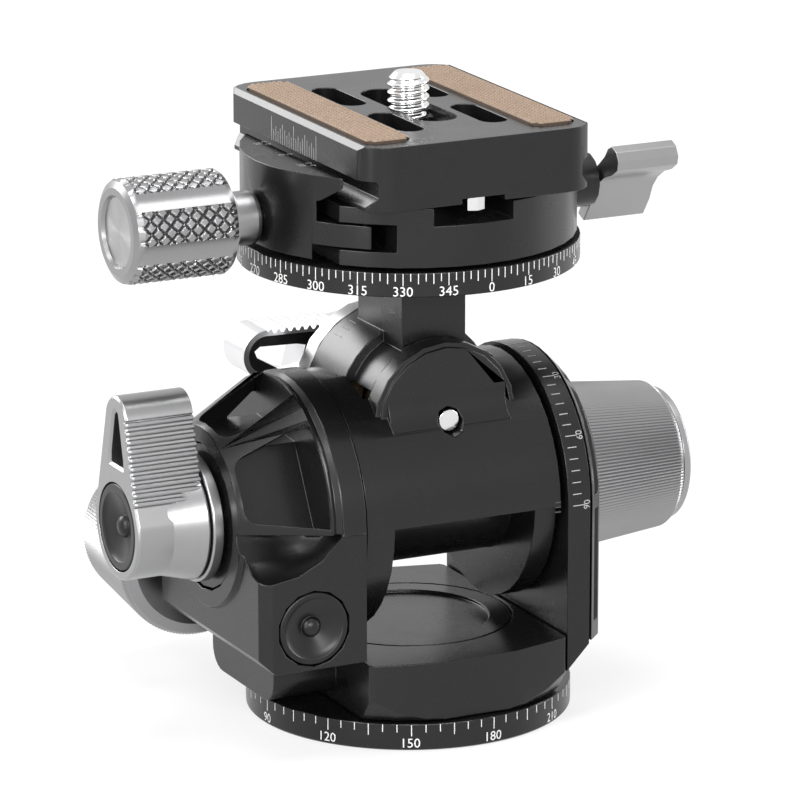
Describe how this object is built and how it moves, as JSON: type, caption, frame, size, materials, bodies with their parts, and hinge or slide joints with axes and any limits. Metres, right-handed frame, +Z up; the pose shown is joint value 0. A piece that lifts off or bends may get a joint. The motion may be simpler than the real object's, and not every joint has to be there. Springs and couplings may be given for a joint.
{
  "type": "geared tripod head",
  "caption": "Geared tripod head: panning yoke, worm-driven tilt and roll, release levers and a panning quick-release clamp with its plate.",
  "frame": {"origin": "centre of the base's underside, on the pan axis", "axes": "+Z up along the pan axis, -Y the front with the tilt scale's 90 mark, +X towards the roll knob, along the tilt axis"},
  "size_m": [0.0923, 0.0681, 0.0988],
  "materials": {
    "black_anodised": "satin black anodised",
    "silver_aluminium": "machined, satin",
    "steel": "turned, bright",
    "brass": "turned",
    "bronze": "cut bronze",
    "tan_rubber": "fine pebbled"
  },
  "bodies": {
    "base": {"base_disc": "black_anodised", "pan_spindle": "steel", "tripod_bush": "brass", "pan_nut": "steel"},
    "yoke": {"yoke_base": "black_anodised", "pan_cover": "black_anodised", "pan_lock_pad": "brass", "right_arm": "black_anodised", "right_bush": "bronze", "right_arm_cover": "black_anodised", "left_arm": "black_anodised", "left_bush": "bronze", "hub_ring": "black_anodised", "worm_end_cap": "black_anodised", "worm_bush_front": "bronze", "worm_bush_rear": "black_anodised"},
    "pan_lock": {"pan_lock_knob": "black_anodised"},
    "tilt_drive": {"tilt_worm": "steel", "tilt_knob": "silver_aluminium", "tilt_knob_ring": "silver_aluminium"},
    "tilt_release": {"tilt_lever": "silver_aluminium", "tilt_lever_cap": "black_anodised", "tilt_lever_collar": "silver_aluminium"},
    "tilt_body": {"barrel": "black_anodised", "roll_rear_cap": "silver_aluminium", "roll_axle": "steel", "tilt_shaft": "steel", "tilt_wheel": "bronze"},
    "roll_drive": {"roll_worm": "steel", "roll_knob": "silver_aluminium", "roll_knob_ring": "silver_aluminium"},
    "roll_release": {"roll_lever": "silver_aluminium", "roll_lever_cap": "black_anodised"},
    "roll_body": {"roll_rotor": "black_anodised", "roll_wheel": "bronze", "upper_disc": "black_anodised", "clamp_spindle": "steel", "clamp_nut": "steel"},
    "clamp": {"clamp_body": "black_anodised"},
    "jaw": {"clamp_jaw": "black_anodised"},
    "jaw_drive": {"clamp_knob": "silver_aluminium", "clamp_screw": "steel"},
    "top_pan_lock": {"lock_lever_arm": "black_anodised", "lock_lever_paddle": "silver_aluminium"},
    "plate": {"quick_plate": "black_anodised", "stop_screw": "steel", "grip_strip_left": "tan_rubber", "grip_strip_right": "tan_rubber"},
    "screw_carrier": {"screw_washer": "black_anodised"},
    "thumb_screw": {"camera_screw": "steel"}
  },
  "joints": [
    {"name": "pan", "type": "hinge", "parent": "base", "child": "yoke", "pos_m": [0, 0, 0], "axis": [0, 0, 1], "continuous": true},
    {"name": "pan_lock_turn", "type": "hinge", "parent": "yoke", "child": "pan_lock", "pos_m": [0, 0, 0.0066], "axis": [0, 1, 0], "range_deg": [0, 180]},
    {"name": "tilt", "type": "hinge", "parent": "yoke", "child": "tilt_body", "pos_m": [0, 0, 0.034], "axis": [1, 0, 0], "range_deg": [-20, 90]},
    {"name": "tilt_knob_turn", "type": "hinge", "parent": "yoke", "child": "tilt_drive", "pos_m": [-0.0256, 0, 0.0207], "axis": [0, 1, 0], "continuous": true},
    {"name": "tilt_release_turn", "type": "hinge", "parent": "yoke", "child": "tilt_release", "pos_m": [0, 0, 0.034], "axis": [1, 0, 0], "range_deg": [0, 60]},
    {"name": "roll", "type": "hinge", "parent": "tilt_body", "child": "roll_body", "pos_m": [0, 0, 0.048], "axis": [0, 1, 0], "range_deg": [-20, 20]},
    {"name": "roll_knob_turn", "type": "hinge", "parent": "tilt_body", "child": "roll_drive", "pos_m": [0, 0, 0.034], "axis": [1, 0, 0], "continuous": true},
    {"name": "roll_release_turn", "type": "hinge", "parent": "tilt_body", "child": "roll_release", "pos_m": [0, 0, 0.048], "axis": [0, 1, 0], "range_deg": [0, 60]},
    {"name": "top_pan", "type": "hinge", "parent": "roll_body", "child": "clamp", "pos_m": [0, 0, 0.0747], "axis": [0, 0, 1], "continuous": true},
    {"name": "jaw_slide", "type": "slide", "parent": "clamp", "child": "jaw", "axis": [1, 0, 0], "range_m": [-0.0016, 0.0017]},
    {"name": "clamp_knob_turn", "type": "hinge", "parent": "jaw", "child": "jaw_drive", "pos_m": [0, 0, 0.07915], "axis": [1, 0, 0], "range_deg": [-580, 615]},
    {"name": "top_lock_turn", "type": "hinge", "parent": "clamp", "child": "top_pan_lock", "pos_m": [0, 0, 0.07915], "axis": [1, 0, 0], "range_deg": [0, 60]},
    {"name": "plate_slide", "type": "slide", "parent": "clamp", "child": "plate", "axis": [0, 1, 0], "range_m": [-0.012, 0.006]},
    {"name": "screw_slide", "type": "slide", "parent": "plate", "child": "screw_carrier", "axis": [0, 1, 0], "range_m": [-0.008, 0.008]},
    {"name": "screw_turn", "type": "hinge", "parent": "screw_carrier", "child": "thumb_screw", "pos_m": [0, 0, 0.0844], "axis": [0, 0, 1], "continuous": true}
  ],
  "couplings": [
    {"joint": "tilt_knob_turn", "follows": "tilt", "ratio": -34},
    {"joint": "roll_knob_turn", "follows": "roll", "ratio": 36},
    {"joint": "clamp_knob_turn", "follows": "jaw_slide", "rad_per_m": 6283.2}
  ]
}
